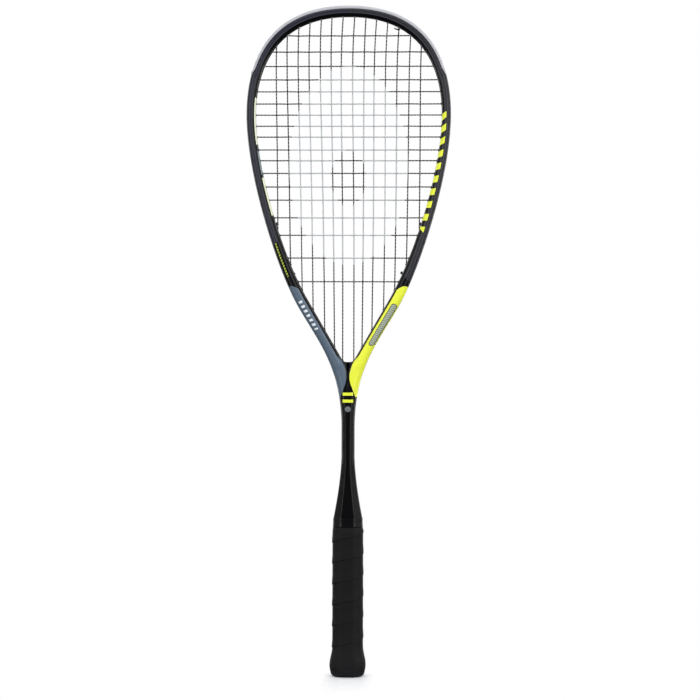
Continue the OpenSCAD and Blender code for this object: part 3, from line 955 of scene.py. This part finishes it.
def paint_band(n):
    """The slate face of the hoop, bluer on the left, with a painted highlight along its ridge."""
    slate = n.blend(n.right, "#23242e", "#262629")
    slate = n.blend(n.scaled(n.noise(9.0), 0.0, 0.3), slate, "#393a42")
    # Painted highlight: a lighter slate along the ridge of the face, where a gloss would catch the lamps.
    painted_ridge_highlight = n.times(n.between(n.across, 0.38, 0.48, 0.04), 0.5)
    slate = n.blend(painted_ridge_highlight, slate, "#4c4d56")
    end = n.math("ADD", run_at(440), n.times(n.right, run_at(404) - run_at(440)))
    n.mark(n.times(n.above(n.across, 0.36, 0.012), n.below(n.run, end, 0.4)), slate)


def paint_hoop_marks(n):
    """Pale blocks on the left inner wall, slanted bars on the right and small dashes on the left."""
    inner_wall = n.times(n.left, n.below(n.across, 0.14, 0.012))
    for top, bottom, code in ((595, 541, "#dde1c8"), (534, 509, "#6c7a80"), (504, 464, "#dde1c0")):
        n.mark(n.times(inner_wall, n.stretch(top, bottom, 0.5)), code)
    from_first = n.math("SUBTRACT", n.slanted, run_at(577))
    bars = n.times(n.right, n.stretch(577, 449, 0.3), n.between(n.across, 0.02, 0.5, 0.012))
    n.mark(n.times(bars, n.stripes(from_first, 14.0, 0.52, 0.2)), YELLOW, thick=True)
    dashes = n.times(n.left, n.stretch(438, 406), n.between(n.across, 0.55, 0.69, 0.012))
    n.mark(n.times(dashes, n.stripes(n.run, 2.9, 0.62)), "#aebd3a")


def shoulder(n, edge_share):
    """Where the coloured panel of a shoulder lies, from its top edge to its point beside the shaft."""
    top = n.math("ADD", run_at(398.5), n.times(n.math("POWER", n.flip(n.across), 2.0), 14.0))
    height = n.add("MapRange", {"Value": n.z, "From Min": 280.0, "From Max": 340.0})
    waist = n.curve(height, [(0, 0.8), (0.117, 0.6), (0.25, 0.36), (0.35, 0.19), (0.45, 0.135),
                             (0.55, 0.22), (0.7, 0.5), (0.85, 0.95), (1, 1)])
    clear = n.above(n.math("ABSOLUTE", n.x), n.times(waist, 12.0), 0.2)
    clear = n.math("MAXIMUM", clear, n.above(n.z, 333.0, 0.5))
    edge = n.times(edge_share, n.above(n.z, 325.0, 4.0))
    return n.times(n.above(n.run, top, 0.2), clear, n.above(n.across, edge, 0.012),
                   n.above(n.z, 286.0, 0.5))


def paint_shoulders(n):
    """A slate-blue shoulder with white bars, and a yellow one with an inlaid pill of slanted ticks."""
    n.mark(n.times(n.left, shoulder(n, 0.22)), "#586675")
    n.mark(n.times(n.right, shoulder(n, 0.19)), YELLOW)
    bars = n.times(n.left, n.stretch(383, 354), n.between(n.across, 0.45, 0.76, 0.015))
    n.mark(n.times(bars, n.stripes(n.run, 5.2, 0.45)), "#e4e8ee", thick=True)

    start, end = run_at(378), run_at(337)
    from_middle = n.math("ABSOLUTE", n.math("SUBTRACT", n.run, (start + end) / 2))
    past_end = n.math("MAXIMUM", n.math("SUBTRACT", from_middle, (end - start) / 2 - 3), 0.0)
    aside = n.times(n.math("SUBTRACT", n.across, 0.66), 11.0)
    from_pill = n.math("SQRT", n.squares(past_end, aside))
    n.mark(n.times(n.right, n.below(from_pill, 3.0)), "#2c3216", thick=True)
    ticks = n.times(n.stripes(n.slanted, 2.6, 0.5, 0.3), n.scaled(n.noise(2.0), 0.4, 1.0))
    inlay = n.blend(ticks, "#7d8678", "#c4ccb6")
    n.mark(n.times(n.right, n.below(from_pill, 2.4)), inlay)


def paint_throat_marks(n):
    """Two bars and a dot at the top of the shaft."""
    bars = n.math("MAXIMUM", n.between(n.z, 287.3, 290.4), n.between(n.z, 280.2, 283.3))
    n.mark(n.times(n.below(n.math("ABSOLUTE", n.x), 5.4), bars), YELLOW, thick=True)
    from_dot = n.math("SQRT", n.squares(n.x, n.math("SUBTRACT", n.z, 273.5)))
    n.mark(n.below(from_dot, 2.9), "#6d7073")


def frame_paint():
    """The finished lacquer, with faint orange peel and scuffs."""
    n = FramePaint()
    paint_band(n)
    paint_hoop_marks(n)
    paint_shoulders(n)
    paint_throat_marks(n)
    peel = n.noise(1.1, detail=2.0)
    scuffs = n.above(n.noise(0.5, n.stretched(0.25, 1.0, 0.05), detail=5.0), 0.66, 0.03)
    relief = n.bump(n.ink, 0.03, n.bump(peel, 0.02))
    rough = n.math("ADD", n.scaled(n.noise(14.0), 0.3, 0.44), n.times(scuffs, 0.1))
    return n.finish(Base_Color=n.colour, Roughness=rough, Specular_IOR_Level=0.08, Normal=relief,
                    Coat_Weight=0.1, Coat_Roughness=n.scaled(scuffs, 0.2, 0.3), Coat_Normal=relief)


def moulded_plastic(name, colour, shade, rough, grain=0.35, gloss=0.2):
    """Moulded plastic: a fine spark-eroded texture, cloudy colour and a few long rubs."""
    n = Nodes(name)
    cloud = n.noise(6.0, detail=4.0)
    rubs = n.above(n.noise(0.6, n.stretched(0.3, 0.8, 0.1), detail=6.0), 0.63, 0.05)
    base = n.blend(n.scaled(cloud, 0.1, 0.9), shade, colour)
    relief = n.bump(n.noise(grain, detail=2.0), 0.035, n.bump(cloud, 0.06))
    roughness = n.math("ADD", n.scaled(cloud, rough - 0.07, rough + 0.07), n.times(rubs, 0.08))
    return n.finish(Base_Color=base, Roughness=roughness, Specular_IOR_Level=gloss, Normal=relief)


def string_material():
    """Dark multifilament string with light flecks, and a pale ring of stencil ink on the bed."""
    n = Nodes("flecked_string")
    along = n.number("along")
    turn = n.math("DIVIDE", n.math("ARCTAN2", n.number("round_b"), n.number("round_a")), 2 * math.pi)
    beat = n.math("FRACT", n.math("DIVIDE", along, 3.6))
    grain = n.noise(0.5, n.vector(n.times(along, 0.5), n.number("round_a"), n.number("round_b")), detail=4.0)
    fleck = n.times(n.between(beat, 0.38, 0.62, 0.04), n.above(grain, 0.3, 0.1))
    base = n.blend(fleck, "#010101", "#8e9094")

    def from_centre(x_half, z_half, z_middle):
        """1 on an ellipse with these half axes and this height of its middle, and less inside it."""
        rise = n.math("SUBTRACT", n.z, z_middle)
        return n.squares(n.math("DIVIDE", n.x, x_half), n.math("DIVIDE", rise, z_half))

    ring = n.times(n.below(from_centre(61.0, 102.0, 522.7), 1.0, 0.01),
                   n.above(from_centre(18.0, 29.0, 509.7), 1.0, 0.02))
    facing = n.math("ABSOLUTE", n.add("SeparateXYZ", {0: n.add("NewGeometry", {}, "Normal")}, 1))
    ink = n.times(ring, n.above(facing, 0.3, 0.15), n.scaled(n.above(grain, 0.33, 0.06), 0.75, 1.0))
    colour = n.blend(ink, base, "#b4b8bc")
    strand = n.math("ADD", n.math("DIVIDE", along, 0.9), n.times(turn, 3.0))
    relief = n.bump(n.math("SINE", n.times(strand, 2 * math.pi)), 0.03, n.bump(grain, 0.03))
    return n.finish(Base_Color=colour, Roughness=n.scaled(ink, 0.45, 0.6), Specular_IOR_Level=0.08,
                    Normal=relief)


def grip_material():
    """Matt tape of foamed polyurethane: pores and fine creases, a lighter lip at each lap that is partly
    wear and partly a painted sheen, and painted shade under each lap's edge.
    """
    n = Nodes("grip_tape_pu")
    phase = n.number("phase")
    pores = n.add("TexVoronoi", {"Vector": n.place, "Scale": 1 / 0.9}, "Distance")
    creases = n.noise(3.4, n.stretched(1.0, 1.0, 1.8), detail=6.0, roughness=0.65)
    # lip: a lighter band just above each lap's edge, partly wear and partly a painted sheen.
    lip = n.between(phase, 0.02, 0.1, 0.02)
    # under: painted shade, a near-black line at the dip just under each lap's edge.
    under = n.math("MAXIMUM", n.above(phase, 0.975, 0.012), n.below(phase, 0.006, 0.006))
    base = n.blend(n.scaled(creases, 0.1, 0.9), "#0a0a0c", "#101012")
    base = n.blend(n.times(lip, 0.3), base, "#17171a")
    base = n.blend(n.times(under, 0.6), base, "#020203")
    relief = n.bump(n.above(pores, 0.25, 0.25), 0.07, n.bump(creases, 0.35))
    return n.finish(Base_Color=base, Roughness=n.scaled(creases, 0.55, 0.78), Specular_IOR_Level=0.15,
                    Sheen_Weight=0.01, Sheen_Roughness=0.5, Normal=relief)


def gloss_material(name, colour, rough, coat):
    """Smooth glossy moulding or lacquer with faint orange peel and hairline rubs."""
    n = Nodes(name)
    rubs = n.above(n.noise(0.7, n.stretched(1.0, 1.0, 0.08), detail=6.0), 0.66, 0.03)
    relief = n.bump(n.noise(1.6, detail=2.0), 0.025)
    base = n.blend(n.noise(12.0), colour, "#09090b")
    return n.finish(Base_Color=base, Roughness=n.math("ADD", rough, n.times(rubs, 0.1)),
                    Specular_IOR_Level=0.06, Normal=relief, Coat_Weight=coat,
                    Coat_Roughness=n.scaled(rubs, 0.4, 0.5), Coat_Normal=relief)


def badge_material():
    """Turned metal, brushed in circles, with darker grooves."""
    n = Nodes("badge_metal")
    radius = n.number("radius")
    brushed = n.noise(0.2, n.vector(radius, 0.0, 0.0), detail=4.0)
    groove = n.math("MAXIMUM", n.between(radius, 7.3, 7.7), n.between(radius, 4.3, 4.7))
    base = n.blend(groove, n.blend(brushed, "#a9adb3", "#d4d7db"), "#3a3c40")
    return n.finish(Base_Color=base, Metallic=0.85, Roughness=n.scaled(brushed, 0.25, 0.42),
                    Normal=n.bump(brushed, 0.02))


def steel_material():
    """Bright drawn steel wire."""
    n = Nodes("steel")
    drawn = n.noise(0.3, n.stretched(0.1, 1.0, 1.0), detail=4.0)
    return n.finish(Base_Color=n.blend(drawn, "#9a9da1", "#c3c6c9"), Metallic=1.0,
                    Roughness=n.scaled(drawn, 0.25, 0.45), Normal=n.bump(drawn, 0.01))


def foam_material():
    """Pale closed-cell foam."""
    n = Nodes("foam")
    cells = n.add("TexVoronoi", {"Vector": n.place, "Scale": 1 / 0.8}, "Distance")
    base = n.blend(cells, "#b8b193", "#e2dcc4")
    return n.finish(Base_Color=base, Roughness=0.9, Normal=n.bump(cells, 0.3))


# ---- The racket ----


def dress(node, material):
    """Gives a CAD node its material. Its shape stays as it is."""
    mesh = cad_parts[node].data
    mesh.materials.clear()
    mesh.materials.append(material)


def build_racket():
    build_frame(frame_paint())
    build_bumper(moulded_plastic("bumper_nylon", "#b4b4ba", "#a2a3a9", 0.42))
    nylon = moulded_plastic("grommet_nylon", "#1b1c1f", "#101113", 0.45)
    for place, span in (("side", SIDE_SPAN), ("throat", THROAT_SPAN)):
        for side in ("left", "right"):
            build_strip(side, place, span, nylon)
    string = string_material()
    build_string("mains", main_path(), string, "main_string")
    build_string("crosses", cross_path(), string, "cross_string")
    build_pallet(gloss_material("cone_lacquer", "#020203", 0.3, 0.12))
    build_collar(gloss_material("collar_rubber", "#050507", 0.34, 0.14))
    build_butt_cap(moulded_plastic("cap_plastic", "#101114", "#0a0b0d", 0.4, gloss=0.14))
    build_badge(badge_material())
    build_grip(grip_material())
    dress("finishing_tape", moulded_plastic("vinyl_tape", "#141416", "#0c0c0e", 0.35))
    dress("shaft_plug", foam_material())
    steel = steel_material()
    dress("butt_staples", steel)
    dress("grip_tack", steel)


# ---- Studio ----


# In metres, but for the roll, which is in radians.
FLOOR_RADIUS = 0.5
CAMERA_DISTANCE = 2.6
CAMERA_ROLL = 0.00216
VIEW_WIDTH = 0.7167
VIEW_CENTRE = (0.0018, 0, 0.3339)
LAMP_HEIGHT = 0.7


def build_floor():
    """Pale grey paper that shows only as a patch in front of and beside the butt, shaped as a painted shadow
    and shaded by the lamps too; past it only the white surround shows.
    """
    mesh = bpy.data.meshes.new("studio_floor")
    rim = [(FLOOR_RADIUS * math.cos(a), FLOOR_RADIUS * math.sin(a), 0) for a in round_angles(96)]
    mesh.from_pydata(rim, [], [tuple(range(len(rim)))])
    n = Nodes("painted_shadow_paper")
    paper = n.blend(n.noise(40.0), "#d9dadd", "#dfe0e3")
    # The patch that shows is a painted shadow: narrow at the sides of the butt, reaching out in front of it
    # and fading behind.
    aside = n.below(n.math("ABSOLUTE", n.x), 19.0, 9.0)
    ahead = n.add("MapRange", {"Value": n.y, "From Min": -150.0, "From Max": -15.0},
                  interpolation_type="SMOOTHSTEP")
    painted_shadow_patch = n.times(aside, ahead, n.below(n.y, 20.0, 12.0))
    mesh.materials.append(n.finish(Base_Color=paper, Roughness=0.9, Specular_IOR_Level=0.05, Alpha=painted_shadow_patch))
    new_object("studio_floor", mesh)


def softbox(name, place, target, width, height, watts):
    """A large soft light that the camera doesn't see."""
    light = bpy.data.lights.new(name, "AREA")
    light.shape = "RECTANGLE"
    light.size = width
    light.size_y = height
    light.energy = watts
    lamp = new_object(name, light)
    lamp.location = place
    lamp.rotation_euler = (Vector(target) - Vector(place)).to_track_quat("-Z", "Y").to_euler()
    lamp.visible_camera = False


def light_studio():
    """Tall softboxes at the front, the sides and the back, one overhead, and a surround that looks white."""
    middle = (0, 0, LENGTH / 2 * MM)
    for name, x, y, watts in (("front_left", -1.5, -1.5, 34), ("front_right", 1.5, -1.5, 40),
                              ("side_left", -2.0, -0.1, 5), ("side_right", 2.0, -0.1, 11),
                              ("back_left", -1.5, 1.5, 20), ("back_right", 1.5, 1.5, 20)):
        softbox(name, (x, y, LAMP_HEIGHT), middle, 0.9, 1.8, watts)
    softbox("overhead", (0, 0, 2.4), middle, 2.4, 2.4, 40)
    world = bpy.data.worlds.new("studio")
    bpy.context.scene.world = world
    world.use_nodes = True
    tree = world.node_tree
    tree.nodes.clear()
    choice = tree.nodes.new("ShaderNodeMixShader")
    # A dim fill that lights the racket, and the white that the camera sees.
    for slot, colour, strength in ((1, (0.92, 0.95, 1, 1), 0.05), (2, (1, 1, 1, 1), 1)):
        background = tree.nodes.new("ShaderNodeBackground")
        background.inputs["Color"].default_value = colour
        background.inputs["Strength"].default_value = strength
        tree.links.new(background.outputs[0], choice.inputs[slot])
    ray = tree.nodes.new("ShaderNodeLightPath")
    output = tree.nodes.new("ShaderNodeOutputWorld")
    tree.links.new(ray.outputs["Is Camera Ray"], choice.inputs[0])
    tree.links.new(choice.outputs[0], output.inputs["Surface"])


def place_camera():
    """Level with the middle of the racket, two degrees to its right and a hair off upright."""
    turn = math.radians(2)
    aim = Vector(VIEW_CENTRE)
    camera = bpy.data.cameras.new("camera")
    camera.sensor_width = 36
    camera.lens = camera.sensor_width * CAMERA_DISTANCE / VIEW_WIDTH
    camera.clip_end = 100
    view = new_object("camera", camera)
    view.location = aim + Vector((math.sin(turn), -math.cos(turn), 0)) * CAMERA_DISTANCE
    roll = Matrix.Rotation(CAMERA_ROLL, 3, "Z")
    view.rotation_euler = ((aim - view.location).to_track_quat("-Z", "Y").to_matrix() @ roll).to_euler()
    bpy.context.scene.camera = view


bpy.context.scene.view_settings.view_transform = "Standard"
build_racket()
build_floor()
light_studio()
place_camera()

bpy.context.view_layer.update()
